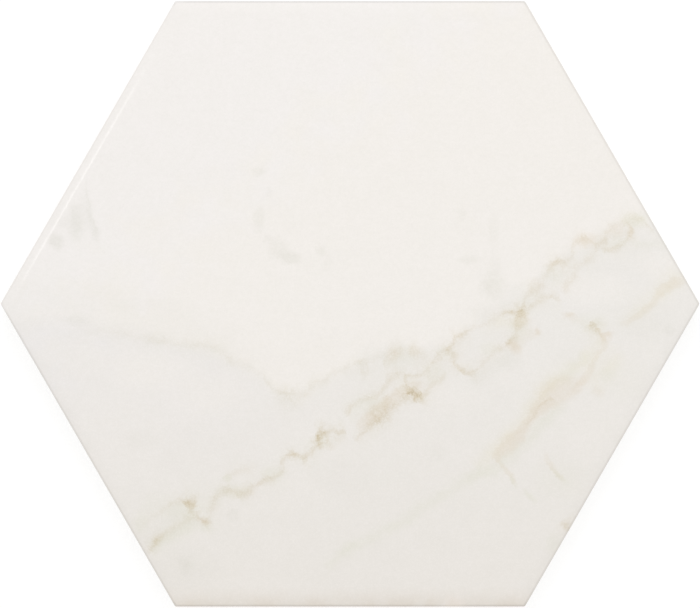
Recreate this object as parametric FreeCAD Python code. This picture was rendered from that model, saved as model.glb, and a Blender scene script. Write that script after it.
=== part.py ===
"""Hexagonal floor tile of dry-pressed porcelain, lying face up as it would on a level floor.

The tile is one fired piece. Seen from above it is a regular hexagon with two corners on the X axis and two
sides square to the Y axis. Its origin is the middle of the back, with Z up through the face. The face is flat
and falls away gently towards every side, then turns over a small arris into an upright wall. The six corners
of the wall are slightly rounded, and its foot is chamfered where the die leaves the pressed powder. The back
has a plain border round a honeycomb of shallow drafted cells, which the tile adhesive keys into; what is left
between the cells is a net of ribs, level with the border. All sizes are in millimetres and degrees.
"""
import FreeCAD
import Part

import math
import os

# Plan of the tile
SIDE_LENGTH = 100.0         # one side of the hexagon, which is half its width from corner to corner
THICKNESS = 9.0             # back to the flat of the face
CORNER_RADIUS = 0.6         # the six upright corners of the wall

# Edge of the face, from the flat outwards
FALL_WIDTH = 4.0            # the band along each side where the face falls away, as far as the wall
FALL_SLOPE = 13.0           # how steep that band has become where the arris begins, in degrees
ARRIS_RADIUS = 0.4          # the small round between the band and the wall

# Foot of the wall
FOOT_CHAMFER = 0.6          # width and height of the chamfer round the back

# Key in the back
CELL_PITCH = 16.0           # from the middle of one cell to the middle of the next
RIB_WIDTH = 2.5             # rib left between two cells, at the back
CELL_DEPTH = 0.8            # how far the cells are sunk
CELL_DRAFT = 30.0           # how far a cell's walls lean from upright, in degrees
BACK_BORDER = 8.0           # least width of plain back between the honeycomb and the wall

SIDES = 6
TURN = 360.0 / SIDES        # degrees from one side or corner to the next
OVERRUN = 1.0               # how far a cutting or trimming solid runs past the surface that it cuts

UP = FreeCAD.Vector(0, 0, 1)
ORIGIN = FreeCAD.Vector(0, 0, 0)


def side_distance(to_corner):
    """Distance from a hexagon's middle to the middle of a side, from that to a corner."""
    return to_corner * math.cos(math.radians(TURN / 2))


def corner_distance(to_side):
    """Distance from a hexagon's middle to a corner, from that to the middle of a side."""
    return to_side / math.cos(math.radians(TURN / 2))


HALF_FLATS = side_distance(SIDE_LENGTH)


def hexagon_corners(to_corner, first_corner, height):
    """Corners of a level hexagon round the Z axis, anticlockwise, the first at that angle in degrees."""
    corners = []
    for step in range(SIDES):
        angle = math.radians(first_corner + step * TURN)
        corners.append(FreeCAD.Vector(to_corner * math.cos(angle), to_corner * math.sin(angle), height))
    return corners


def flat_face(corners):
    """Plane face with these corners."""
    return Part.Face(Part.makePolygon([*corners, corners[0]]))


def face_edge(wall):
    """Edges of the section from the top of a wall, over the arris and up the fall, to the flat of the face.

    The fall and the arris are two arcs that meet smoothly. wall is the wall's distance from the middle.
    """
    slope = math.radians(FALL_SLOPE)
    fall_radius = ARRIS_RADIUS + (FALL_WIDTH - ARRIS_RADIUS) / math.sin(slope)
    fall_centre = FreeCAD.Vector(wall - FALL_WIDTH, 0, THICKNESS - fall_radius)
    arris_centre = FreeCAD.Vector(
        wall - ARRIS_RADIUS, 0, fall_centre.z + (fall_radius - ARRIS_RADIUS) * math.cos(slope)
    )

    def on_arc(centre, radius, from_upright):
        """Point of an arc where its outward normal leans that far from upright."""
        return centre + FreeCAD.Vector(math.sin(from_upright), 0, math.cos(from_upright)) * radius

    wall_top = on_arc(arris_centre, ARRIS_RADIUS, math.pi / 2)
    arris_middle = on_arc(arris_centre, ARRIS_RADIUS, (math.pi / 2 + slope) / 2)
    arris_end = on_arc(arris_centre, ARRIS_RADIUS, slope)
    fall_middle = on_arc(fall_centre, fall_radius, slope / 2)
    flat_end = on_arc(fall_centre, fall_radius, 0)
    return [
        Part.Arc(wall_top, arris_middle, arris_end).toShape(),
        Part.Arc(arris_end, fall_middle, flat_end).toShape(),
    ]


def section():
    """Closed section of the tile, cut square across two opposite sides, in the XZ plane."""
    right_edge = face_edge(HALF_FLATS)
    wall_top = right_edge[0].firstVertex(True).Point
    flat_end = right_edge[1].lastVertex(True).Point
    foot = FreeCAD.Vector(HALF_FLATS - FOOT_CHAMFER, 0, 0)
    wall_foot = FreeCAD.Vector(HALF_FLATS, 0, FOOT_CHAMFER)
    right = [
        Part.makeLine(ORIGIN, foot),
        Part.makeLine(foot, wall_foot),
        Part.makeLine(wall_foot, wall_top),
        *right_edge,
        Part.makeLine(flat_end, FreeCAD.Vector(0, 0, THICKNESS)),
    ]
    left = [edge.mirror(ORIGIN, FreeCAD.Vector(1, 0, 0)) for edge in right]
    return Part.Wire(Part.__sortEdges__(right + left))


def slab(side_angle):
    """Endless tile section, run along the sides whose walls face side_angle and the opposite way."""
    length = 2 * (SIDE_LENGTH + OVERRUN)
    across = Part.Face(section()).extrude(FreeCAD.Vector(0, length, 0))
    across.translate(FreeCAD.Vector(0, -length / 2, 0))
    across.rotate(ORIGIN, UP, side_angle)
    return across


def rounded_hexagon():
    """Upright hexagonal prism with rounded corners, a little taller than the tile at both ends."""
    outline = hexagon_corners(SIDE_LENGTH, 0, -OVERRUN)
    prism = flat_face(outline).extrude(UP * (THICKNESS + 2 * OVERRUN))
    upright = [edge for edge in prism.Edges if edge.BoundBox.ZLength > THICKNESS]
    return prism.makeFillet(CORNER_RADIUS, upright)


def pressed_blank():
    """The tile before its back is keyed: the sections across its three pairs of sides, where they meet."""
    blank = rounded_hexagon()
    for pair in range(SIDES // 2):
        blank = blank.common(slab(TURN / 2 + pair * TURN))
    return blank


def honeycomb_middles():
    """Middles of the back's cells: whole rings of cells about the middle one, as many as the border leaves."""
    cell_reach = corner_distance((CELL_PITCH - RIB_WIDTH) / 2)
    row_pitch = side_distance(CELL_PITCH)
    rings = int((HALF_FLATS - BACK_BORDER - cell_reach) // row_pitch)
    middles = []
    for row in range(-rings, rings + 1):
        cells_in_row = 2 * rings + 1 - abs(row)
        for place in range(cells_in_row):
            across = (place - (cells_in_row - 1) / 2) * CELL_PITCH
            middles.append(FreeCAD.Vector(across, row * row_pitch, 0))
    return middles


def cell_cutter():
    """Drafted hexagonal cell about the origin, sunk CELL_DEPTH into the back and run on below it."""
    mouth = (CELL_PITCH - RIB_WIDTH) / 2
    lean = math.tan(math.radians(CELL_DRAFT))
    below = hexagon_corners(corner_distance(mouth + OVERRUN * lean), TURN / 2, -OVERRUN)
    floor = hexagon_corners(corner_distance(mouth - CELL_DEPTH * lean), TURN / 2, CELL_DEPTH)
    faces = [flat_face(below), flat_face(floor)]
    for this in range(SIDES):
        following = (this + 1) % SIDES
        faces.append(flat_face([below[this], below[following], floor[following], floor[this]]))
    return Part.Solid(Part.Shell(faces))


def tile():
    """The fired tile, as one solid."""
    cells = []
    for middle in honeycomb_middles():
        cell = cell_cutter()
        cell.translate(middle)
        cells.append(cell)
    keyed = pressed_blank().cut(cells)
    return keyed.removeSplitter().Solids[0]


os.makedirs("parts", exist_ok=True)
tile().exportStep("parts/tile.step")
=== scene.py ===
import math

import bpy
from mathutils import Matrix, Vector


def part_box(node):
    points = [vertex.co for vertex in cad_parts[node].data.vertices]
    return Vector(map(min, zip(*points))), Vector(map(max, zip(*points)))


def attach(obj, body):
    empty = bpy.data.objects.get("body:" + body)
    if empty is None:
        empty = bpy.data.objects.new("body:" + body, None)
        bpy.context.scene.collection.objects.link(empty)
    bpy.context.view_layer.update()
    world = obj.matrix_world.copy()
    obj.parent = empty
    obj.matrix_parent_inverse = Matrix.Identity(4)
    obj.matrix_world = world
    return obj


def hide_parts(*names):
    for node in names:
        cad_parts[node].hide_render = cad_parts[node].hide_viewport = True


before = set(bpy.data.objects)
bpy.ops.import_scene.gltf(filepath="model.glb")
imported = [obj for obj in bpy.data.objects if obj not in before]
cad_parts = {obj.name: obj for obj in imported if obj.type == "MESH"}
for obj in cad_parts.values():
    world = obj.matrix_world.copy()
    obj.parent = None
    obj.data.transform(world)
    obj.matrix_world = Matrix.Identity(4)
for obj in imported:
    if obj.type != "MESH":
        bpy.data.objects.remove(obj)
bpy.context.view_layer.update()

# The fired tile: its shape
# One piece of porcelain, pressed from dry powder in a hexagonal die, glazed and fired in one go. The die
# gives it the soft fall of the face to each side, the upright wall, the chamfered foot and the honeycomb in
# the back. Firing leaves its edges very slightly uneven.
MM = 0.001
lowest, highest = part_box("tile")
side_distance = math.cos(math.radians(30))      # of a hexagon's middle to a side, for one to a corner

TILE_SIZES = {
    "Half Flats": highest.y,
    "Thickness": highest.z - lowest.z,
    "Corner Radius": 0.6 * MM,
    "Fall Width": 4 * MM,
    "Fall Slope": math.radians(13),
    "Arris Radius": 0.4 * MM,
    "Foot Chamfer": 0.6 * MM,
    "Hip Softness": 2.5 * MM,
    "Cell Pitch": 16 * MM,
    "Rib Width": 2.5 * MM,
    "Cell Depth": 0.8 * MM,
    "Cell Draft": math.radians(30),
    "Cell Corner Radius": 1.3 * MM,
    "Unevenness": 0.05 * MM,
}
WARPS = [(45, 0.5), (14, 0.3), (4, 0.2)]        # waves of the unevenness: length in millimetres, share of it
FIRING_SEED = 7
CELL_RINGS = 5                                  # rings of cells round the middle one
COLUMNS = 80                                    # columns of faces along one side of the tile
FALL_ROWS = 12
ARRIS_ROWS = 7
WALL_ROWS = 8
CELL_COLUMNS = 4                                # columns of faces along one side of a cell
CROWDING = 0.92                                 # how far the columns crowd towards the corners, up to 1
SHARP = math.radians(28)                        # edges that turn by more than this stay crisp
WELD = 0.004 * MM                               # points nearer than this are one


class Field:
    """A node's output: an expression on it adds the Math nodes that work it out."""

    def __init__(self, recipe, socket):
        self.recipe = recipe
        self.socket = socket

    def __getitem__(self, output):
        """Another output of the same node, by its name."""
        return Field(self.recipe, self.recipe.find(self.socket.node.outputs, output))

    def __add__(self, other):
        return self.recipe.math("ADD", self, other)

    __radd__ = __add__

    def __sub__(self, other):
        return self.recipe.math("SUBTRACT", self, other)

    def __rsub__(self, other):
        return self.recipe.math("SUBTRACT", other, self)

    def __mul__(self, other):
        return self.recipe.math("MULTIPLY", self, other)

    __rmul__ = __mul__

    def __truediv__(self, other):
        return self.recipe.math("DIVIDE", self, other)

    def __rtruediv__(self, other):
        return self.recipe.math("DIVIDE", other, self)

    def __neg__(self):
        return self * -1

    def __abs__(self):
        return self.recipe.math("ABSOLUTE", self)

    def __gt__(self, other):
        return self.recipe.math("GREATER_THAN", self, other)


class Recipe:
    """A node tree being written."""

    def __init__(self, tree):
        self.tree = tree

    def find(self, sockets, key):
        """The socket with this identifier, or else with this name."""
        for socket in sockets:
            if socket.identifier == key:
                return socket
        return sockets[key]

    def add(self, kind, settings=None, values=None):
        """Adds a node: its settings, then the values or links of its sockets. Gives its first output."""
        node = self.tree.nodes.new(kind)
        for name, setting in (settings or {}).items():
            if name == "curve":
                self.draw_curve(node.mapping, setting)
            else:
                setattr(node, name, setting)
        for name, value in (values or {}).items():
            socket = self.find(node.inputs, name)
            for item in value if isinstance(value, list) else [value]:
                if isinstance(item, Field):
                    self.tree.links.new(item.socket, socket)
                else:
                    socket.default_value = item
        shown = [output for output in node.outputs if output.enabled]
        return Field(self, shown[0]) if shown else None

    def draw_curve(self, mapping, points):
        """Gives a Float Curve node these points, and leaves it level beyond them."""
        mapping.use_clip = False
        mapping.extend = "HORIZONTAL"
        curve = mapping.curves[0]
        for place, point in enumerate(points):
            if place < len(curve.points):
                curve.points[place].location = point
            else:
                curve.points.new(*point)
        mapping.update()

    def math(self, operation, *values):
        """A Math node on values or fields."""
        names = ("Value", "Value_001", "Value_002")
        return self.add("ShaderNodeMath", {"operation": operation}, dict(zip(names, values)))

    def vector(self, operation, *values):
        """A Vector Math node on vectors or vector fields."""
        names = ("Vector", "Vector_001", "Vector_002")
        return self.add("ShaderNodeVectorMath", {"operation": operation}, dict(zip(names, values)))

    def least(self, first, second):
        return self.math("MINIMUM", first, second)

    def most(self, first, second):
        return self.math("MAXIMUM", first, second)

    def within(self, value):
        """value, kept from 0 to 1."""
        return self.add("ShaderNodeClamp", {}, {"Value": value})


def turn_of(angle):
    """Sine and cosine of an angle field."""
    return angle.recipe.math("SINE", angle), angle.recipe.math("COSINE", angle)


def round_hexagon(recipe, column, columns, to_side, corner_radius, first_corner):
    """Plan place of a column of points round a hexagon, and its distance from the nearest diagonal.

    column counts from the first corner, with that many columns to a side, crowded towards the corners.
    to_side is the distance from the middle to a side, and first_corner the angle of the first diagonal.
    """
    side = recipe.math("FLOOR", column / columns)
    share = column / columns - side
    wave = recipe.math("SINE", share * math.tau)
    share = share - wave * (CROWDING / math.tau)
    past_half = share > 0.5
    sense = 1 - 2 * past_half
    to_corner = to_side / side_distance
    along = (past_half + sense * share) * to_corner
    # From a diagonal, the outline turns through 30 degrees of round corner, then runs straight on
    tangent = corner_radius * math.tan(math.radians(30))
    turned = recipe.least(along / tangent, 1) * math.radians(30)
    past = recipe.most(along - tangent, 0)
    sine, cosine = turn_of(turned)
    outwards = to_corner - corner_radius / side_distance + corner_radius * cosine - past * 0.5
    aside = corner_radius * sine + past * side_distance
    sine, cosine = turn_of((side + past_half) * math.radians(60) + first_corner)
    x = outwards * cosine - sense * aside * sine
    y = outwards * sine + sense * aside * cosine
    return x, y, aside


def grid(recipe, columns, rows):
    """Mesh grid one unit to a face, with its column and row numbers as fields."""
    settings = {"Size X": columns, "Size Y": rows, "Vertices X": columns + 1, "Vertices Y": rows + 1}
    mesh = recipe.add("GeometryNodeMeshGrid", {}, settings)
    place = recipe.add("ShaderNodeSeparateXYZ", {}, {"Vector": recipe.add("GeometryNodeInputPosition")})
    return mesh, place["X"] + columns / 2, place["Y"] + rows / 2


def placed(recipe, mesh, x, y, z):
    """Mesh with its points moved there."""
    place = recipe.add("ShaderNodeCombineXYZ", {}, {"X": x, "Y": y, "Z": z})
    return recipe.add("GeometryNodeSetPosition", {}, {"Geometry": mesh, "Position": place})


def joined(recipe, *meshes):
    """Meshes as one, with the points that coincide welded."""
    together = recipe.add("GeometryNodeJoinGeometry", {}, {"Geometry": list(meshes)})
    return recipe.add("GeometryNodeMergeByDistance", {}, {"Geometry": together, "Distance": WELD})


def open_edges(recipe, mesh):
    """Curves along the edges of a mesh that have one face only."""
    faces = recipe.add("GeometryNodeInputMeshEdgeNeighbors")
    border = recipe.add("FunctionNodeCompare", {"data_type": "INT", "operation": "EQUAL"},
                        {"A_INT": faces, "B_INT": 1})
    return recipe.add("GeometryNodeMeshToCurve", {}, {"Mesh": mesh, "Selection": border})


pressing = bpy.data.node_groups.new("pressed_tile", "GeometryNodeTree")
pressing.interface.new_socket("Geometry", in_out="OUTPUT", socket_type="NodeSocketGeometry")
size_sockets = {}
for name in TILE_SIZES:
    size_sockets[name] = pressing.interface.new_socket(name, in_out="INPUT", socket_type="NodeSocketFloat")
seed_socket = pressing.interface.new_socket("Seed", in_out="INPUT", socket_type="NodeSocketInt")
die = Recipe(pressing)
size = die.add("NodeGroupInput")

# The flat of the face: three lattices, each from the middle to three corners, crowded towards the corners
flat_reach = (size["Half Flats"] - size["Fall Width"]) / side_distance
lattice, column, row = grid(die, COLUMNS, COLUMNS)
spread = []
for share in (column / COLUMNS, row / COLUMNS):
    spread.append((share - die.math("SINE", share * math.tau) * (CROWDING / math.tau)) * flat_reach)
lattice = placed(die, lattice, spread[0] - spread[1] * 0.5, spread[1] * side_distance, size["Thickness"])
flats = []
for turn in (0, 120, 240):
    turned = {"Geometry": lattice, "Rotation": (0, 0, math.radians(turn))}
    flats.append(die.add("GeometryNodeTransform", {}, turned))

# The edge band: down the fall, over the arris, down the wall and in along the foot chamfer
band, column, row = grid(die, 6 * COLUMNS, FALL_ROWS + ARRIS_ROWS + WALL_ROWS + 1)
on_fall = die.within(row / FALL_ROWS)
on_arris = die.within((row - FALL_ROWS) / ARRIS_ROWS)
on_wall = die.within((row - FALL_ROWS - ARRIS_ROWS) / WALL_ROWS)
on_chamfer = die.within(row - FALL_ROWS - ARRIS_ROWS - WALL_ROWS)
arris, chamfer, slope = size["Arris Radius"], size["Foot Chamfer"], size["Fall Slope"]
slope_sine, slope_cosine = turn_of(slope)
fall_radius = arris + (size["Fall Width"] - arris) / slope_sine
fall_sine, fall_cosine = turn_of(slope * on_fall)
lean_sine, lean_cosine = turn_of(slope + (math.pi / 2 - slope) * on_arris)
wall_top = size["Thickness"] - fall_radius * (1 - slope_cosine) - arris * slope_cosine
to_side = (size["Half Flats"] - size["Fall Width"] + fall_radius * fall_sine
           + arris * (lean_sine - slope_sine) - chamfer * on_chamfer)
height = (size["Thickness"] - fall_radius * (1 - fall_cosine) - arris * (slope_cosine - lean_cosine)
          - (wall_top - chamfer) * on_wall - chamfer * on_chamfer)
corner_radius = size["Corner Radius"] * die.within((row - 1) / (FALL_ROWS - 1))
x, y, from_diagonal = round_hexagon(die, column, COLUMNS, to_side, corner_radius, 0)

# The hips, where the falls of two sides meet, are rounded off by a parabola
softness = size["Hip Softness"]
nearness = die.most(1 - from_diagonal / softness, 0)
hip = fall_sine / fall_cosine * softness / 4 * nearness * nearness * (1 - on_wall)
band = placed(die, band, x, y, height - hip)
band = die.add("GeometryNodeFlipFaces", {}, {"Mesh": band})
shell = joined(die, *flats, band)

# One cell of the honeycomb: half of its ribs, its drafted wall and its floor
cell, column, row = grid(die, 6 * CELL_COLUMNS, 3)
half_pitch = size["Cell Pitch"] / 2
mouth = half_pitch - size["Rib Width"] / 2
draft_sine, draft_cosine = turn_of(size["Cell Draft"])
floor_reach = mouth - size["Cell Depth"] * draft_sine / draft_cosine
on_rib = die.within(row)
on_draft = die.within(row - 1)
on_floor = die.within(row - 2)
to_side = (half_pitch + (mouth - half_pitch) * on_rib + (floor_reach - mouth) * on_draft) * (1 - on_floor)
cell_corner = size["Cell Corner Radius"] * on_rib * (1 - on_floor)
x, y, _ = round_hexagon(die, column, CELL_COLUMNS, to_side, cell_corner, math.radians(30))
cell = placed(die, cell, x, y, size["Cell Depth"] * on_draft)
cell = die.add("GeometryNodeFlipFaces", {}, {"Mesh": cell})
cell = die.add("GeometryNodeMergeByDistance", {}, {"Geometry": cell, "Distance": WELD})

# The honeycomb, on a slanting lattice cut to a hexagon
middles, column, row = grid(die, 2 * CELL_RINGS, 2 * CELL_RINGS)
column, row = column - CELL_RINGS, row - CELL_RINGS
too_far = abs(column + row) > CELL_RINGS + 0.5
middles = die.add("GeometryNodeDeleteGeometry", {"domain": "POINT"},
                  {"Geometry": middles, "Selection": too_far})
middles = placed(die, middles, (column + row * 0.5) * size["Cell Pitch"],
                 row * side_distance * size["Cell Pitch"], 0)
cells = die.add("GeometryNodeInstanceOnPoints", {}, {"Points": middles, "Instance": cell})
honeycomb = joined(die, die.add("GeometryNodeRealizeInstances", {}, {"Geometry": cells}))

# The border of the back, from the honeycomb to the foot
outlines = [open_edges(die, shell), open_edges(die, honeycomb)]
outlines = die.add("GeometryNodeJoinGeometry", {}, {"Geometry": outlines})
border = die.add("GeometryNodeFillCurve", {"mode": "TRIANGLES"}, {"Curve": outlines})
border = die.add("GeometryNodeFlipFaces", {}, {"Mesh": border})
body = joined(die, shell, honeycomb, border)

# What firing does: edges and face a few hundredths of a millimetre out of true, but not the back, on which
# the tile rests
place = die.add("GeometryNodeInputPosition")
above_foot = die.within((die.add("ShaderNodeSeparateXYZ", {}, {"Vector": place})["Z"] - chamfer) / MM - 1)
waves = 0
for wavelength, share in WARPS:
    noise = {"Vector": place, "W": size["Seed"], "Scale": 1 / (wavelength * MM), "Detail": 1.0}
    waves = waves + (die.add("ShaderNodeTexNoise", {"noise_dimensions": "4D"}, noise) - 0.5) * (2 * share)
push = {"Vector": die.add("GeometryNodeInputNormal"), "Scale": waves * size["Unevenness"] * above_foot}
push = die.add("ShaderNodeVectorMath", {"operation": "SCALE"}, push)
body = die.add("GeometryNodeSetPosition", {}, {"Geometry": body, "Offset": push})
body = die.add("GeometryNodeSetShadeSmooth", {"domain": "FACE"}, {"Geometry": body, "Shade Smooth": True})
crisp = die.add("FunctionNodeCompare", {"data_type": "FLOAT", "operation": "GREATER_THAN"},
                {"A": die.add("GeometryNodeInputMeshEdgeAngle"), "B": SHARP})
body = die.add("GeometryNodeSetShadeSmooth", {"domain": "EDGE"},
               {"Geometry": body, "Selection": crisp, "Shade Smooth": False})
porcelain = bpy.data.materials.new("glazed_porcelain")
body = die.add("GeometryNodeRealizeInstances", {}, {"Geometry": body})
body = die.add("GeometryNodeSetMaterial", {}, {"Geometry": body, "Material": porcelain})
die.add("NodeGroupOutput", {}, {"Geometry": body})

# The tile is pressed once, and kept as a plain mesh
blank = bpy.data.objects.new("blank", bpy.data.meshes.new("blank"))
bpy.context.scene.collection.objects.link(blank)
press = blank.modifiers.new("pressing", "NODES")
press.node_group = pressing
for name, value in TILE_SIZES.items():
    press[size_sockets[name].identifier] = value
press[seed_socket.identifier] = FIRING_SEED
evaluated = blank.evaluated_get(bpy.context.evaluated_depsgraph_get())
mesh = bpy.data.meshes.new_from_object(evaluated)
mesh.name = "fired_tile"
fired_tile = bpy.data.objects.new("fired_tile", mesh)
bpy.context.scene.collection.objects.link(fired_tile)
bpy.data.objects.remove(blank)

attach(fired_tile, "root")
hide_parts("tile")

# The tile's finish
# A white porcelain body under a clear, glossy glaze, with a marble pattern printed beneath the glaze. The
# glaze thins over the arris and runs a little way down the walls; the rest of the walls and the back are
# bare body.
porcelain.use_nodes = True
porcelain.node_tree.nodes.clear()
finish = Recipe(porcelain.node_tree)
here = finish.add("ShaderNodeTexCoord")["Object"]
here = finish.vector("MULTIPLY", here, (1 / MM, 1 / MM, 1 / MM))        # in millimetres from here on
plan = finish.add("ShaderNodeSeparateXYZ", {}, {"Vector": here})


def noise_at(place, wavelength, **values):
    """Noise of that wavelength in millimetres, from 0 to 1 and mostly near a half."""
    return finish.add("ShaderNodeTexNoise", {}, {"Vector": place, "Scale": 1 / wavelength, **values})


def contrasty(noise, low, high):
    """Noise stretched so that what lies between low and high runs from 0 to 1."""
    return finish.within((noise - low) / (high - low))


def tinted(colour, amount, transmission):
    """Colour under that amount of an ink, whose full layer lets these shares of red, green and blue pass."""
    values = {"Factor_Float": amount, "A_Color": colour, "B_Color": (*transmission, 1)}
    mixed = finish.add("ShaderNodeMix", {"data_type": "RGBA", "blend_type": "MULTIPLY"}, values)
    return mixed["Result_Color"]


def blended(first, second, amount):
    """Colour that goes from first to second as amount goes from 0 to 1."""
    values = {"Factor_Float": amount, "A_Color": first, "B_Color": second}
    return finish.add("ShaderNodeMix", {"data_type": "RGBA"}, values)["Result_Color"]


def patch(place, x, y, across, upright, strength):
    """Oval soft patch: even in its middle, gone at that distance to the side or up."""
    oval = {"Vector": place, "Location": (x, y, 0), "Scale": (across, upright, 100)}
    oval = finish.add("ShaderNodeMapping", {"vector_type": "TEXTURE"}, oval)
    fading = finish.add("ShaderNodeTexGradient", {"gradient_type": "SPHERICAL"}, {"Vector": oval})["Fac"]
    return finish.within(fading * 1.6) * strength


# The ground of the print: nearly white, in a cooler and a warmer cast that meet across it on a slant
coarse = noise_at(here, 22, Detail=2.0)
cloud = noise_at(here, 9, Detail=3.0)
COOL_GROUND = (0.896, 0.863, 0.8385, 1)
WARM_GROUND = (0.900, 0.863, 0.824, 1)
BOTTOM_DARKENING = (0.978, 0.966, 0.953)              # sets in below the middle, in full at the bottom side
CASTS_MEET = 45                                 # how far from the middle, towards the upper left
CASTS_BLEND = 24                                # width over which the casts meet
slant = plan["X"] * 0.6 - plan["Y"] * 0.8
warmth = finish.within((slant + CASTS_MEET) / CASTS_BLEND + 0.5 + (cloud - 0.5) * 3)
ground = blended(COOL_GROUND, WARM_GROUND, warmth)
# Darker and a little warmer below the middle, in full at the bottom side
ground = tinted(ground, finish.within(-plan["Y"] / 85), BOTTOM_DARKENING)

# Beyond the veins it is greyer, but for a few clean patches, and just before the left vein a little darker
SHADE_LINE = [(-100, -7), (-83, -5), (-71, -6.6), (-57, -9.1), (-41, -13.1), (-31, -16.8), (-23, -22.5),
              (-16, -25.5), (-8, -22), (0, -18), (12, -13), (23, -12.5), (32, -7), (43, 0.5), (55, 8.5),
              (66, 17), (83, 23.5), (100, 25)]
SHADE_REACH = 100                               # how far the line runs to the left and right of the middle
SHADE_DRIFT = 9                                 # how much the clouds shift it
SHADE_BLEND = 5                                 # width over which the grey sets in
BEFORE_PLACE = 5                                # middle of the darker strip, this far before the line
BEFORE_WIDTH = 6
BEYOND_GREY = (0.960, 0.966, 0.969)
LEFT_COOLING = (1.006, 1.004, 1.016)
BEFORE_GREY = (0.982, 0.983, 0.980)
shade_line = [((x + SHADE_REACH) / (2 * SHADE_REACH), y) for x, y in SHADE_LINE]
shade_edge = finish.add("ShaderNodeFloatCurve", {"curve": shade_line},
                        {"Value": (plan["X"] + SHADE_REACH) / (2 * SHADE_REACH)})
past_line = shade_edge - plan["Y"] + (cloud - 0.5) * SHADE_DRIFT
CLEAN_PATCHES = [
    (70, 4, 14, 6, 0.6),
    (88, 11, 9, 5, 0.5),
    (-57, -19, 17, 7, 0.5),
    (-41, -26, 14, 7, 0.4),
    (29, -27.5, 12, 6, 0.3),
    (49, -19, 14, 8, 0.2),
    (70, -36, 14, 10, 0.2),
    (-75, -16.5, 9, 6, 0.17),
]
clean = 0
for values in CLEAN_PATCHES:
    clean = clean + patch(here, *values)
beyond = finish.within(past_line / SHADE_BLEND + 0.5) * (1 - clean)
beyond = beyond * (0.8 + 0.2 * contrasty(coarse, 0.3, 0.55))
ground = tinted(ground, beyond, BEYOND_GREY)
at_left = finish.within(-plan["X"] / 40) * finish.within(plan["Y"] / 30 + 2)
ground = tinted(ground, beyond * at_left, LEFT_COOLING)
before_line = (past_line + BEFORE_PLACE) / BEFORE_WIDTH
before_line = finish.math("EXPONENT", -before_line * before_line) * finish.within(-plan["X"] / 30 - 0.5)
ground = tinted(ground, before_line, BEFORE_GREY)

# Its mottle, from clouds down to specks, which are stronger where it is greyer
ground = tinted(ground, contrasty(cloud, 0.35, 0.65), (0.995, 0.996, 0.992))
ground = tinted(ground, contrasty(noise_at(here, 3.5, Detail=2.0), 0.35, 0.65), (0.991, 0.991, 0.989))
ground = tinted(ground, contrasty(noise_at(here, 1.3, Detail=1.0), 0.3, 0.7), (0.981, 0.982, 0.979))
specks = noise_at(here, 0.5, Detail=2.0)
ground = tinted(ground, contrasty(specks, 0.3, 0.7) * (1 + beyond * 0.7), (0.971, 0.973, 0.972))

# Veins wander: a slow drift and finer ones that fray their edges
WANDERS = [(8, 1.6), (2.6, 1.5), (1.0, 1.1), (0.45, 0.6)]   # wavelength and drift of each, in millimetres
veined = here
for wavelength, drift in WANDERS:
    wander = noise_at(here, wavelength, Detail=1.0)["Color"]
    wander = finish.vector("SUBTRACT", wander, (0.5, 0.5, 0.5))
    wander = finish.vector("MULTIPLY", wander, (drift, drift, 0))
    veined = finish.vector("ADD", veined, wander)
SPREAD = 1.3                                    # how much wider than drawn a strand prints, under the glaze


def strand(points, bloom=0, flat=False):
    """One strand of a vein: how strong its thread and the bloom round it are at each place.

    points are (x, y, half width, strength) in millimetres, from one end to the other. bloom is how much
    wider than the thread its bloom is on either side, or 0 for none. A flat strand has an even middle and
    firmer edges.
    """
    start, end = Vector(points[0][:2]), Vector(points[-1][:2])
    chord = end - start
    lengthwise = chord / chord.length_squared
    crosswise = Vector((-chord.y, chord.x)) / chord.length
    centres = []
    widths = []
    strengths = []
    for x, y, half_width, strength in points:
        offset = Vector((x, y)) - start
        along = offset.dot(lengthwise)
        centres.append((along, offset.dot(crosswise)))
        widths.append((along, half_width * SPREAD))
        strengths.append((along, strength))
    along = finish.vector("DOT_PRODUCT", veined, (*lengthwise, 0))["Value"] - start.dot(lengthwise)
    across = finish.vector("DOT_PRODUCT", veined, (*crosswise, 0))["Value"] - start.dot(crosswise)
    strength = finish.add("ShaderNodeFloatCurve", {"curve": strengths}, {"Value": along})
    width = finish.add("ShaderNodeFloatCurve", {"curve": widths}, {"Value": along})
    aside = across - finish.add("ShaderNodeFloatCurve", {"curve": centres}, {"Value": along})
    share = aside / width
    falling = share * share * share * share if flat else share * share
    thread = strength * finish.math("EXPONENT", -falling)
    if not bloom:
        return thread, 0
    share = aside / (width + bloom)
    return thread, strength * finish.math("EXPONENT", -share * share)


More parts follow.
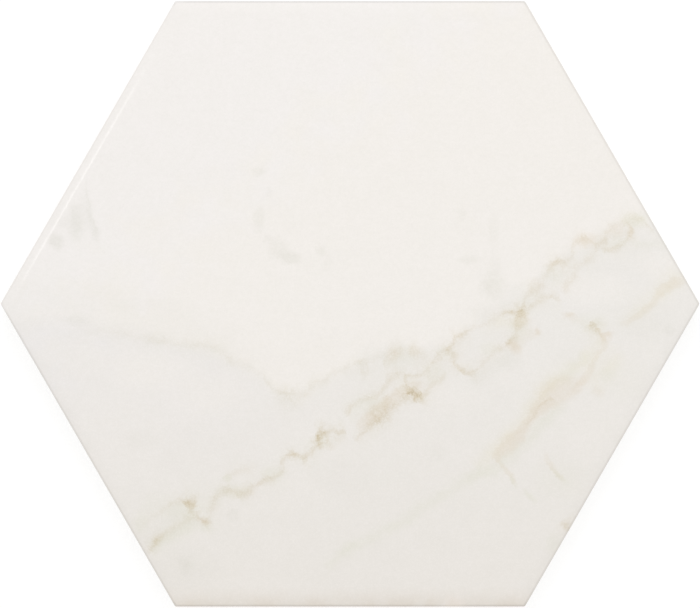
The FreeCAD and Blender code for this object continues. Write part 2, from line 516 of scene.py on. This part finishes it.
# The main vein, from the lower left to the upper right, in threads that part and meet again
MAIN_VEIN = [
    [(-58, -71, 0.5, 0), (-56, -68.8, 0.8, 0.44), (-53, -65.8, 0.7, 0.27), (-50, -64.2, 0.7, 0.22),
     (-47, -62.2, 0.7, 0.22), (-44, -61, 0.7, 0.32), (-41.3, -62, 0.8, 0.5), (-39.5, -61.5, 0.8, 0)],
    [(-60, -65, 0.8, 0), (-57, -61, 0.8, 0.12), (-52, -58, 0.6, 0.18), (-48.5, -56.5, 0.7, 0.38),
     (-46, -57.3, 1.0, 0.75), (-44, -55, 0.8, 0.25), (-42.5, -53.5, 0.8, 0)],
    [(-47, -56.5, 0.5, 0), (-46, -58.5, 0.6, 0.15), (-44, -61, 0.6, 0.1), (-43.5, -62, 0.5, 0)],
    [(-40.5, -60.5, 0.8, 0), (-39, -57.2, 1.0, 0.3), (-37, -53.7, 0.9, 0.35), (-34, -52.7, 1.0, 0.35),
     (-30, -54.2, 1.1, 0.35), (-26.5, -51.7, 0.7, 0.36), (-23.5, -50.2, 0.6, 0.5),
     (-20.5, -48.7, 0.6, 0.36), (-19, -46.7, 0.6, 0.36), (-17.5, -43.7, 0.6, 0.5),
     (-15, -43.6, 0.7, 0.72), (-12.5, -43.6, 0.6, 0.5), (-10.5, -42, 0.6, 0.35), (-8.5, -41, 0.6, 0)],
    [(-36.5, -51, 0.8, 0), (-33.5, -48.5, 0.8, 0.2), (-30, -47.5, 0.8, 0.2), (-26.5, -46, 0.8, 0)],
    [(-7, -42, 0.6, 0), (-8.5, -40.5, 0.7, 0.6), (-9, -38.5, 0.7, 0.7), (-8.5, -37, 0.6, 0)],
    [(-10, -37.5, 0.5, 0), (-8, -36.5, 0.8, 0.85), (-5.5, -36, 0.5, 0.45), (-3.5, -36.5, 0.6, 0.6),
     (-1, -36.5, 0.5, 0)],
    [(-6.5, -38.5, 0.7, 0), (-6, -40, 0.7, 0.25), (-4.5, -42, 0.7, 0)],
    [(1, -39, 0.5, 0), (2.5, -38, 0.6, 0.32), (4, -36.5, 0.7, 0.4), (6.5, -34, 0.9, 0.65),
     (9.5, -32.5, 0.8, 0.6), (12, -29.5, 0.9, 0.42), (14, -28, 0.7, 0.42), (16, -26, 0.9, 0.5),
     (18.5, -26, 0.9, 0.8), (21, -25.5, 0.8, 0.45), (22.5, -24, 0.7, 0.35), (25, -22, 0.6, 0.3),
     (27, -19.5, 0.5, 0)],
    [(5.5, -33, 1.2, 0), (8, -31, 1.7, 0.2), (10.5, -29, 1.6, 0.2), (13, -27, 1.0, 0)],
    [(18.3, -23.4, 0.6, 0), (18.5, -26, 0.8, 0.75), (18.3, -28.8, 0.6, 0)],
    [(16, -20, 0.5, 0), (16, -22, 0.5, 0.4), (16.5, -24.5, 0.6, 0.4), (17, -26.5, 0.6, 0)],
    [(-1.5, -32, 0.6, 0), (0, -30.5, 0.7, 0.35), (2, -28.5, 0.6, 0.25), (6.5, -26.5, 0.6, 0.3),
     (10, -23.5, 0.7, 0.3), (12, -21, 0.8, 0.35), (15.5, -20, 0.7, 0.3), (20.5, -20, 0.6, 0.3),
     (24, -16, 0.6, 0)],
    [(23, -17.6, 0.6, 0), (24.8, -16.1, 0.6, 0.35), (26.2, -14.2, 0.6, 0.4), (28.4, -12.8, 0.7, 0.45),
     (29.6, -11.4, 0.7, 0.45), (30.2, -9.4, 0.7, 0.5), (32.6, -8.5, 0.6, 0.45), (34.7, -7.1, 0.5, 0.2),
     (39.2, -5.3, 0.6, 0.22), (42.7, -3.1, 0.6, 0.22), (45, -2.8, 0.5, 0.25), (47, -2.5, 0.5, 0)],
    [(27.5, -13, 0.6, 0), (29.5, -15, 0.6, 0.35), (30, -17.5, 0.6, 0.35), (31.5, -18.5, 0.6, 0.45),
     (33, -20, 0.5, 0)],
    [(31, -19.2, 0.5, 0), (32.6, -19.8, 0.6, 0.5), (36.2, -18.9, 0.5, 0.35), (39.2, -15.9, 0.5, 0.25),
     (42.2, -13.4, 0.6, 0.3), (44.2, -12.3, 0.6, 0.35), (46, -10.7, 0.7, 0.65), (47.5, -7.5, 1.0, 0.25),
     (48.5, -5, 1.4, 0.3), (49.5, -1.5, 0.8, 0)],
    [(42, -3, 0.5, 0), (45.5, -2.5, 0.6, 0.35), (48.7, -2.5, 1.0, 0.55), (51.5, -1, 0.8, 0.3),
     (53.5, 0.5, 0.6, 0.3), (56, 2, 0.6, 0.35), (58.5, 2, 0.6, 0.3), (60, 1, 0.6, 0)],
    [(48.5, -3.5, 0.8, 0), (50, -0.2, 0.8, 0.27), (50.2, 2.3, 0.8, 0.27), (51.7, 3.8, 0.9, 0.22),
     (54.1, 5.3, 1.0, 0.26), (55.1, 6.8, 0.9, 0.22), (56.6, 8.8, 0.8, 0.27), (59, 11.4, 0.8, 0.58),
     (62, 11.9, 0.6, 0.33), (63.5, 14.3, 0.6, 0.22), (64.1, 16.8, 0.6, 0.22), (65.6, 18.4, 0.9, 0.27),
     (68.5, 17.9, 1.1, 0.32), (70, 16.5, 0.7, 0.33), (72.5, 17.9, 0.8, 0.45), (73, 19.4, 0.7, 0.28),
     (74.5, 20.9, 0.9, 0.22), (76.5, 22.3, 1.1, 0.22), (79.5, 24, 1.4, 0.25), (82, 24.5, 1.5, 0.25),
     (85, 22.5, 1.1, 0.25), (87, 21, 0.8, 0)],
    [(72, 15.5, 0.6, 0), (73.5, 15.5, 0.7, 0.3), (76, 16, 0.7, 0.4), (79, 18, 0.8, 0.35),
     (80.3, 20, 0.8, 0.45), (80.5, 22.5, 0.7, 0)],
    [(71, 16.5, 0.6, 0), (69, 13.5, 0.7, 0.25), (67, 11.5, 0.7, 0.25), (65, 10.5, 0.7, 0.2),
     (64, 8, 0.7, 0.25), (62, 5.5, 0.8, 0.3), (60, 3, 0.7, 0)],
    [(9.5, -17, 1.2, 0), (10.5, -15.8, 1.6, 0.25), (12.5, -14.3, 1.8, 0.3), (14.5, -13.8, 1.6, 0.28),
     (16, -13.8, 1.2, 0.15), (18, -13.8, 1.6, 0.28), (20.5, -14.8, 1.5, 0.22), (23, -16.8, 1.0, 0)],
]
# The paler vein that comes in from the left, joins the main vein, and reaches along it
SIDE_VEIN = [
    [(-82, -7.3, 1.0, 0), (-73, -7.8, 0.9, 0.15), (-66, -8.3, 0.8, 0.25), (-61, -9.8, 0.7, 0.25),
     (-56, -10.3, 0.9, 0.4), (-51, -10.8, 0.7, 0.35), (-46, -11.8, 0.8, 0.35), (-40, -12.3, 0.9, 0.4),
     (-35, -15.3, 0.8, 0.4), (-31, -17.2, 0.8, 0.3), (-27, -19, 0.6, 0.2), (-24, -21, 0.8, 0)],
    [(-25, -20, 0.7, 0), (-23.5, -22, 0.8, 0.38), (-20, -25.1, 0.9, 0.46), (-15, -25.7, 0.9, 0.42),
     (-11.5, -23.7, 0.8, 0.42), (-7, -21.6, 0.8, 0.38), (-4.5, -20, 0.6, 0.3), (-0.5, -18.5, 0.6, 0.3),
     (3, -16.5, 0.7, 0.3), (7.5, -15.5, 0.7, 0.3), (10.5, -14.5, 0.8, 0)],
    [(4, -15.5, 0.6, 0), (4, -17, 0.8, 0.4), (4, -20, 0.8, 0.35), (4, -22.5, 0.6, 0)],
    [(-21, -24, 1.5, 0), (-19, -27, 2.0, 0.2), (-16, -29, 2.0, 0.2), (-12, -29, 1.5, 0)],
]
# The broad pink band with its branches, and the pink fill beside the middle of the main vein
PINK_FILL = [
    [(40.8, -44.7, 0.7, 0), (42.4, -43.2, 1.4, 0.8), (46, -39.8, 1.8, 0.82), (49, -36.5, 1.5, 0.82),
     (51.7, -32.6, 1.2, 0.76), (54.2, -29.3, 1.8, 0.8), (56.7, -27, 2.8, 0.78), (59.7, -24.9, 3.2, 0.75),
     (62.8, -23, 2.7, 0.65), (65.6, -21.9, 1.4, 0.45), (68.5, -21, 0.8, 0)],
    [(2, -36, 0.7, 0), (4.7, -33, 1.1, 0.65), (8.7, -30, 1.2, 0.78), (12.5, -26.4, 1.1, 0.78),
     (16.5, -24.1, 1.0, 0.7), (20.5, -22.8, 0.8, 0)],
    [(64, -25.5, 1.0, 0), (66.3, -22.2, 0.9, 0.45), (68.4, -19, 0.7, 0.45), (70.2, -15.5, 0.6, 0.42),
     (71.6, -13.5, 0.6, 0.4), (73, -11.3, 0.8, 0.42), (72.3, -9.5, 0.9, 0.5), (70.5, -7, 0.8, 0)],
    [(71, -9.5, 0.5, 0), (73.5, -9, 0.6, 0.4), (76.5, -8, 0.5, 0)],
    [(69, -24, 1.2, 0), (71, -25, 1.3, 0.35), (73, -26, 1.2, 0)],
    [(77.8, -6.2, 0.6, 0), (79.3, -5.2, 0.8, 0.35), (82.8, -2.7, 0.8, 0.42), (85.8, -0.2, 0.8, 0.45),
     (87.3, 1.3, 0.9, 0.5), (89.8, 4.2, 1.0, 0.6), (92.3, 5.8, 1.1, 0.7), (94.5, 6.8, 1.0, 0.45),
     (96.5, 7.2, 0.8, 0)],
    [(41.5, -44.5, 0.5, 0), (43, -46, 0.6, 0.5), (46, -49.5, 0.6, 0.5), (48, -52, 0.5, 0)],
    [(55.5, -42.5, 0.6, 0), (57, -45, 0.6, 0.45), (59.5, -48.5, 0.6, 0.45), (61, -51, 0.5, 0)],
    [(60, -3, 0.9, 0), (62.5, -3.5, 1.0, 0.35), (66, -5, 0.7, 0.2), (69, -6, 0.6, 0)],
    [(45, -13.5, 1.2, 0), (47, -13, 1.6, 0.5), (49, -10, 1.4, 0.3), (53, -8, 1.2, 0.35), (55, -7.5, 1.0, 0)],
]
# Dark threads on the crest of the band, and on the spots by its upper end and by the lower right side
BAND_CREST = [
    [(47, -38, 0.35, 0), (50, -35.2, 0.35, 0.15), (52.8, -31.3, 0.35, 0.3), (54.7, -28.6, 0.35, 0.35),
     (56.2, -27.6, 0.5, 0.4), (58, -26.8, 0.5, 0)],
    [(68.5, -5.5, 0.5, 0), (70, -7.3, 0.8, 0.65), (71.5, -9.5, 0.6, 0.25), (73, -12, 0.6, 0)],
    [(60.5, -61.5, 0.7, 0), (61.8, -63, 0.8, 0.45), (63.5, -65, 0.8, 0)],
]
# Yellowish haze beside the band, and below the right part of the main vein
HAZE = [
    [(35.5, -46.5, 1.3, 0), (40.5, -42, 1.5, 0.45), (46.5, -36.2, 1.5, 0.5), (51.9, -28.3, 1.6, 0.55),
     (57.2, -22.8, 1.8, 0.6), (64, -18, 1.9, 0.65), (69.2, -14.3, 1.7, 0.62), (70.8, -7, 1.5, 0)],
    [(76, -7, 1.5, 0), (82, -2.5, 1.8, 0.4), (87, 1.8, 2.0, 0.5), (92, 6.3, 2.0, 0.5), (96, 9, 1.5, 0)],
    [(66, -24, 2.0, 0), (70.5, -21, 2.3, 0.45), (74, -17, 2.5, 0.45), (77, -11.5, 2.0, 0)],
    [(37, -9, 1.2, 0), (42, -5.5, 1.4, 0.35), (47, -5, 1.5, 0.4), (51, -1, 1.2, 0)],
]
# Grey strokes: beside the left edge, below the right part of the main vein and above its lower left end
GREY_STROKES = [
    [(-75.6, 36, 0.35, 0), (-75.2, 31.5, 0.4, 0.55), (-74.3, 26.5, 0.6, 0.65), (-73, 21, 0.8, 1.0),
     (-72.3, 18.8, 0.8, 0.6), (-71.8, 17, 0.5, 0)],
    [(-79.5, 29, 0.8, 0), (-78.9, 26, 1.3, 0.7), (-78.4, 22, 1.6, 1.0), (-78, 18.8, 1.1, 0.6),
     (-77.8, 17, 0.7, 0)],
    [(33, -23, 1.2, 0), (37, -21, 1.6, 0.35), (43, -16.5, 1.6, 0.4), (48, -13.5, 1.4, 0)],
    [(-59.5, -68.5, 1.5, 0), (-56.5, -66, 1.8, 0.25), (-51.2, -62, 1.8, 0.25), (-47, -59.8, 1.5, 0)],
]
# Green-grey shadow: along the band and its long tail down to the lower edge, at both ends of the main vein
# and beside the band's small branches
GREEN_SHADE = [
    [(36, -49, 1.5, 0), (43, -46, 1.8, 0.5), (49, -41, 1.3, 0.5), (54, -35.5, 1.3, 0.6),
     (58, -31.5, 1.4, 0.45), (63, -28, 1.2, 0)],
    [(60, -23, 1.0, 0), (62, -20, 1.5, 0.35), (65, -17, 1.3, 0.35), (68, -14, 1.0, 0)],
    [(-7.3, -75.8, 1.1, 0), (-3.8, -72.9, 1.3, 0.5), (-0.8, -70, 1.3, 0.6), (3.6, -68, 1.3, 0.38),
     (9.2, -65, 1.4, 0.4), (16.6, -61.4, 1.4, 0.42), (23.6, -56.4, 1.4, 0.38), (29.2, -53, 1.5, 0.45),
     (35.2, -49.4, 1.6, 0.55), (40.7, -45.8, 1.5, 0)],
    [(-56.8, -71.8, 1.3, 0), (-53.8, -67.6, 1.6, 0.55), (-49.6, -65.2, 1.8, 0.6), (-46, -62.8, 1.8, 0.6),
     (-43.5, -62.2, 1.7, 0.55), (-40, -63.3, 1.6, 0.35), (-37, -61, 1.3, 0)],
    [(80, 17.5, 0.8, 0), (83.5, 17, 0.9, 0.35), (90, 17, 0.9, 0.25), (94, 16, 0.8, 0)],
    [(45.3, -48.8, 0.4, 0), (46.8, -51, 0.5, 0.7), (48.2, -53, 0.4, 0)],
    [(49.2, -52.6, 0.4, 0), (51.2, -55, 0.6, 0.6), (53.5, -57.3, 0.4, 0)],
    [(57.5, -46, 0.4, 0), (59.3, -48.3, 0.6, 0.6), (62, -51.5, 0.5, 0)],
    [(-61, -60, 2.0, 0), (-57, -57.5, 2.5, 0.25), (-50, -58.5, 3.0, 0.2), (-42, -57, 2.5, 0.2),
     (-36, -55.5, 2.0, 0)],
]

# How much of each ink is printed at each place. The side vein is more grey than brown.
MAIN_BLOOM = 2.2                                # how much wider than its thread a bloom is, in millimetres
SIDE_BLOOM = 1.6
SIDE_SHARES = {"thread": 0.22, "grey": 0.6, "bloom": 0.85}
threads = 0
blooms = 0
for points in MAIN_VEIN + BAND_CREST:
    thread, bloom = strand(points, MAIN_BLOOM)
    threads = threads + thread
    blooms = blooms + bloom
greys = 0
for points in SIDE_VEIN:
    thread, bloom = strand(points, SIDE_BLOOM)
    threads = threads + thread * SIDE_SHARES["thread"]
    greys = greys + thread * SIDE_SHARES["grey"]
    blooms = blooms + bloom * SIDE_SHARES["bloom"]
for points in GREY_STROKES:
    greys = greys + strand(points)[0]
pinks = 0
for points in PINK_FILL:
    pinks = pinks + strand(points, flat=True)[0]
greens = 0
for points in GREEN_SHADE:
    greens = greens + strand(points)[0]
hazes = 0
for points in HAZE:
    hazes = hazes + strand(points)[0]

# Soft oval patches of the same inks: x, y, reach to the side, reach up and strength, in millimetres
GREY_PATCHES = [
    (-83.7, 17.9, 2.9, 3.3, 1.0),
    (-82.5, 23.5, 3, 3, 0.35),
    (-76.3, 25.5, 3.6, 7, 0.45),
    (-26, 38, 2.8, 1.6, 0.6),
    (-23, 32, 1.2, 2, 0.3),
    (-26, 24, 2.2, 5, 0.6),
    (-23.5, 18.5, 2, 2, 0.4),
    (-20.5, 15.5, 4, 4, 0.55),
    (-17.5, 13, 4.5, 2.6, 0.8),
    (-8.5, 15.5, 2.2, 2.2, 0.6),
    (-6.5, 12, 2, 3.5, 0.3),
    (32, 25.5, 1.5, 2.5, 0.4),
    (34, 12.5, 4, 1.8, 0.5),
    (41, 21, 2.0, 6.5, 0.35),
    (41, 5, 4.6, 5, 0.75),
    (37, -2.5, 5, 3.5, 0.3),
    (-5.5, -10.5, 7, 5, 0.1),
    (41, 11, 3.5, 4, 0.3),
    (46.5, -17, 5, 3, 0.3),
    (-60, -39, 8, 4, 0.25),
    (-48, -42, 10, 8, 0.12),
    (-3, -50, 12, 8, 0.15),
    (15, -15.5, 7, 3.5, 0.12),
    (-47, -75, 2.5, 3, 0.5),
    (-33.5, -60.5, 2.5, 2, 0.5),
    (-78, -4.5, 5, 2.5, 0.5),
    (-60, 0, 12, 2.5, 0.15),
    (25, -42, 4, 4, 0.2),
    (91, -7.5, 2, 2, 0.4),
    (-46, -76, 12, 8, 0.35),
    (84, -5, 10, 7, 0.3),
]
PINK_PATCHES = [
    (-45.8, -57.4, 1.8, 1.8, 0.9),
    (-41.5, -62, 1.5, 1.5, 0.6),
    (-55, -67.5, 2.0, 2.5, 0.5),
    (12.2, -14.6, 2.6, 2.6, 0.35),
    (18.4, -13.6, 2.2, 2.2, 0.35),
    (10, -29, 5, 3, 0.15),
    (6.5, -32.5, 2.5, 2.0, 0.3),
    (-32, -54, 5.5, 2.2, 0.3),
    (48.2, -5.8, 2.8, 2.4, 0.7),
    (47, -12.5, 2.4, 2.0, 0.8),
    (53.6, -7.8, 1.3, 1.2, 0.7),
    (67.2, 17.8, 4.5, 2.6, 0.75),
    (75.5, 20.5, 3.5, 2.5, 0.4),
    (52.5, 4.5, 3, 3.5, 0.3),
    (80.3, 20.5, 1.2, 2.8, 0.6),
    (73.5, -9.5, 2.2, 2.0, 0.6),
    (63, -3.2, 2.0, 1.2, 0.5),
]
GREEN_PATCHES = [
    (15, -14.2, 7.5, 3.0, 0.15),
    (81.3, 24, 5.5, 2.8, 0.55),
    (76.5, 17.5, 4, 2.2, 0.3),
    (27, -14, 3, 3, 0.35),
    (14.5, -17, 6, 3, 0.3),
    (5, -29, 6, 4, 0.25),
    (51, 2, 5, 6, 0.25),
    (24, -20, 5, 4, 0.25),
    (40, -13, 4, 2.5, 0.2),
    (58, 8, 4, 4, 0.25),
    (48, -8, 4, 5, 0.35),
    (69, -6, 6, 4, 0.3),
    (-47, -59.5, 8, 3.5, 0.15),
    (58.5, -69, 3, 5, 0.35),
    (-35, -49.6, 1.8, 1.4, 0.6),
    (-33, -53.5, 6.5, 3.0, 0.35),
    (-22, -48.5, 5, 3, 0.3),
    (-60, -63, 3, 4, 0.35),
    (73.4, -19.8, 3, 2.5, 0.25),
    (77, -22, 9, 8, 0.15),
    (60, -50, 9, 8, 0.2),
]
for values in GREY_PATCHES:
    greys = greys + patch(veined, *values)
for values in PINK_PATCHES:
    pinks = pinks + patch(veined, *values)
for values in GREEN_PATCHES:
    greens = greens + patch(veined, *values)

# Each ink has the grain of the marble: it thins and thickens over a millimetre or two, and is finely
# speckled. The threads fray into a fine web, and their bloom is greener at the left and pinker at the right.
speckle = contrasty(specks, 0.25, 0.75)
grain = contrasty(noise_at(here, 1.9, Detail=3.0), 0.3, 0.7) * 0.6 + speckle * 0.4
coarse_grain = contrasty(noise_at(here, 5, Detail=2.0), 0.3, 0.7)
threads = threads * (0.2 + 0.7 * grain + 0.45 * speckle)
WEB_FINENESS = 16
WEB_STRENGTH = 0.45
web = finish.within(1 - abs(noise_at(veined, 3.2, Detail=2.0) - 0.5) * WEB_FINENESS)
threads = threads + web * finish.within(blooms - 0.1) * WEB_STRENGTH
blooms = blooms * (0.1 + 0.4 * coarse_grain + 0.25 * speckle)
at_right = finish.within(plan["X"] / 50 + 0.4)
INKS = {
    "bloom at left": (0.918, 0.93, 0.86),
    "bloom at right": (0.952, 0.93, 0.85),
    "haze": (0.972, 0.96, 0.875),
    "green": (0.915, 0.937, 0.863),
    "grey": (0.92, 0.925, 0.905),
    "pink": (0.945, 0.905, 0.845),
    "thread": (0.83, 0.765, 0.645),
    "knot": (0.80, 0.76, 0.70),                 # where threads lie over each other
}
printed = tinted(ground, blooms * (1 - at_right), INKS["bloom at left"])
printed = tinted(printed, blooms * at_right * 1.1, INKS["bloom at right"])
printed = tinted(printed, hazes * (0.4 + 0.7 * coarse_grain + 0.3 * speckle), INKS["haze"])
printed = tinted(printed, greens * (0.4 + 0.5 * coarse_grain + 0.3 * speckle), INKS["green"])
printed = tinted(printed, greys * (0.65 + 0.6 * grain), INKS["grey"])
printed = tinted(printed, pinks * (0.65 + 0.6 * grain), INKS["pink"])
printed = tinted(printed, threads, INKS["thread"])
printed = tinted(printed, threads - 0.85, INKS["knot"])

# At the edges the glaze is thin and dull: a darker line all round, which is partly painted shade, and beige
# patches along the bottom side. Painted shade also darkens the falls away from the lamps.
thickness = (highest.z - lowest.z) / MM
half_flats = highest.y / MM
fall_depth = thickness - plan["Z"]
towards_upper_left = plan["Y"] * 0.5 - plan["X"] * side_distance
towards_upper_right = plan["Y"] * 0.5 + plan["X"] * side_distance
slanting_sides = finish.most(abs(towards_upper_left), abs(towards_upper_right))
from_wall = half_flats - finish.most(abs(plan["Y"]), slanting_sides)
from_bottom = plan["Y"] + half_flats
lit_side = finish.within((plan["Y"] * 0.8 - plan["X"] * 0.6) / 30 - 1)
WORN_PATCHES = [(-43, 11), (-24, 6), (-9, 5), (4, 5), (14.5, 7), (23, 3), (45, 5)]      # x, half length
WORN_REACH = 6                                  # how far in from the bottom side it is worn
LINE_WIDTH = 0.66                               # of the darker line, in from the wall
LINE_SOFTNESS = 0.12
EDGE_INKS = {
    "worn": (0.918, 0.885, 0.842),
    "gap": (0.985, 0.95, 0.92),
    "shaded": (0.987, 0.986, 0.984),
    "line": (0.90, 0.897, 0.89),
    "line at top and bottom": (0.94, 0.945, 0.955),
}
worn = 0.4 + 0.4 * contrasty(noise_at(here, 4, Detail=3.0), 0.35, 0.65)
for x, half_length in WORN_PATCHES:
    worn = worn + patch(veined, x, -half_flats, half_length, 5, 0.3)
bottom_gap = patch(veined, 29.5, -half_flats, 4.5, 4, 1.0)
worn = finish.within(worn - bottom_gap)
near_bottom = finish.within((WORN_REACH - from_bottom) / WORN_REACH)
printed = tinted(printed, near_bottom * worn, EDGE_INKS["worn"])
printed = tinted(printed, bottom_gap, EDGE_INKS["gap"])
# Painted shade: the falls darkened a little, except on the side towards the lamps at the upper left
printed = tinted(printed, finish.within(fall_depth / 0.3) * (1 - lit_side), EDGE_INKS["shaded"])
# The darker line over the arris: thin, dull glaze there, and also painted shade where the edge turns down
line_waver = (noise_at(here, 2.5, Detail=2.0) - 0.5) * LINE_SOFTNESS
thin_glaze_and_shade_line = finish.within((LINE_WIDTH - from_wall + line_waver) / LINE_SOFTNESS)
line_glaze_and_shade = thin_glaze_and_shade_line * (1 - 0.6 * finish.within(towards_upper_left - half_flats + 3))
printed = tinted(printed, line_glaze_and_shade, EDGE_INKS["line"])
# Painted shade: the line darker still at the top and bottom sides
top_or_bottom = finish.within((abs(plan["Y"]) - half_flats + 1.5) / 0.5) * (1 - bottom_gap)
printed = tinted(printed, thin_glaze_and_shade_line * top_or_bottom, EDGE_INKS["line at top and bottom"])

# The bare body, pale, matt and finely speckled, and the line down the walls where the glaze ends
BODY_SHADE = (0.71, 0.655, 0.575, 1)
BODY_LIGHT = (0.83, 0.785, 0.71, 1)
BODY_ROUGHNESS = 0.62
GLAZE_ROUGHNESS = 0.09
BODY_GRAIN = 0.02                               # height of the body's grain, in millimetres
GLAZE_PEEL = 0.003                              # height of the slow waves in the glaze
GLAZE_DROP = 2.4                                # how far below the face the glaze ends on the walls
GLAZE_WAVER = 1.6
body_grain = contrasty(noise_at(here, 0.5, Detail=3.0), 0.25, 0.75)
body_colour = blended(BODY_SHADE, BODY_LIGHT, body_grain)
glaze_waver = (noise_at(here, 6, Detail=2.0) - 0.5) * GLAZE_WAVER
glazed = finish.within((GLAZE_DROP - fall_depth + glaze_waver) / 0.25)
colour = blended(body_colour, printed, glazed)
gloss = glazed * (1 - 0.7 * thin_glaze_and_shade_line)
roughness = BODY_ROUGHNESS - (BODY_ROUGHNESS - GLAZE_ROUGHNESS) * gloss
relief = noise_at(here, 2.2, Detail=1.0) * GLAZE_PEEL * glazed + body_grain * BODY_GRAIN * (1 - glazed)
bump = finish.add("ShaderNodeBump", {}, {"Height": relief, "Distance": MM, "Strength": 1.0})
surface = finish.add("ShaderNodeBsdfPrincipled", {},
                     {"Base Color": colour, "Roughness": roughness, "Normal": bump, "IOR": 1.5})
finish.add("ShaderNodeOutputMaterial", {}, {"Surface": surface})

# The floor
# A plain pale sheet that the tile lies on, and isn't part of the tile. Its light on the tile is that of a
# pale sheet, but where it is looked at, also in a reflection, it is just white and keeps a soft shadow.
SHEET_COLOUR = (0.9, 0.9, 0.9, 1)
LOOKED_AT_COLOUR = (0.36, 0.36, 0.36, 1)
LOOKED_AT_GLOW = 0.69
SHEET_REACH = 6.0                               # metres to each side
paper = bpy.data.materials.new("pale_sheet")
paper.use_nodes = True
paper.node_tree.nodes.clear()
sheet = Recipe(paper.node_tree)
ray = sheet.add("ShaderNodeLightPath")
looked_at = sheet.within(ray["Is Camera Ray"] + ray["Is Glossy Ray"] + ray["Is Transmission Ray"])
lit = sheet.add("ShaderNodeBsdfDiffuse", {}, {"Color": LOOKED_AT_COLOUR})
glow = sheet.add("ShaderNodeEmission", {}, {"Color": (1, 1, 1, 1), "Strength": LOOKED_AT_GLOW})
white = sheet.add("ShaderNodeAddShader", {}, {"Shader": lit, "Shader_001": glow})
pale = sheet.add("ShaderNodeBsdfDiffuse", {}, {"Color": SHEET_COLOUR})
sheet_surface = sheet.add("ShaderNodeMixShader", {},
                          {"Fac": looked_at, "Shader": pale, "Shader_001": white})
sheet.add("ShaderNodeOutputMaterial", {}, {"Surface": sheet_surface})
floor_mesh = bpy.data.meshes.new("floor")
corners = []
for x_sense, y_sense in ((-1, -1), (1, -1), (1, 1), (-1, 1)):
    corners.append((x_sense * SHEET_REACH, y_sense * SHEET_REACH, 0))
floor_mesh.from_pydata(corners, [], [(0, 1, 2, 3)])
floor_mesh.materials.append(paper)
floor = bpy.data.objects.new("floor", floor_mesh)
bpy.context.scene.collection.objects.link(floor)

# The light
# Soft studio light: a pale surround, a lamp beyond the top of the picture and a narrow tube that draws the
# thin line of shine along the upper left edge.
SURROUND = 0.913                                # strength of the surround, which is 1 where it is looked at
world = bpy.data.worlds.new("surround")
world.use_nodes = True
world.node_tree.nodes.clear()
surround = Recipe(world.node_tree)
ray = surround.add("ShaderNodeLightPath")
looked_at = surround.within(ray["Is Camera Ray"] + ray["Is Glossy Ray"] + ray["Is Transmission Ray"])
strength = SURROUND + (1 - SURROUND) * looked_at
sky = surround.add("ShaderNodeBackground", {}, {"Color": (1, 1, 1, 1), "Strength": strength})
surround.add("ShaderNodeOutputWorld", {}, {"Surface": sky})
bpy.context.scene.world = world


def add_lamp(name, azimuth, zenith, distance, length, width, watts, aim=(0, 0, 0)):
    """Rectangular lamp that faces the point aim from that direction, its length level."""
    azimuth, zenith = math.radians(azimuth), math.radians(zenith)
    lamp = bpy.data.lights.new(name, "AREA")
    lamp.shape = "RECTANGLE"
    lamp.size = length
    lamp.size_y = width
    lamp.energy = watts
    towards = Vector((math.cos(azimuth) * math.sin(zenith), math.sin(azimuth) * math.sin(zenith),
                      math.cos(zenith)))
    holder = bpy.data.objects.new(name, lamp)
    holder.location = Vector(aim) + towards * distance
    holder.rotation_euler = (zenith, 0, azimuth + math.pi / 2)
    bpy.context.scene.collection.objects.link(holder)


add_lamp("main_lamp", azimuth=90, zenith=50, distance=0.8, length=0.35, width=0.35, watts=0.99)
add_lamp("tube", azimuth=150, zenith=18, distance=0.8, length=0.13, width=0.045, watts=0.045,
         aim=(-0.0813, 0.0284, 0.009))

# The camera
# It looks straight down on the tile from three quarters of a metre, aimed a hair beside its middle.
CAMERA_HEIGHT = 750 * MM                        # above the face
AIM = (-0.016 * MM, -0.056 * MM)
camera_data = bpy.data.cameras.new("camera")
camera_data.sensor_width = 36
camera_data.lens = 135
camera = bpy.data.objects.new("camera", camera_data)
camera.location = (*AIM, highest.z + CAMERA_HEIGHT)
bpy.context.scene.collection.objects.link(camera)
bpy.context.scene.camera = camera
bpy.context.scene.view_settings.view_transform = "Standard"
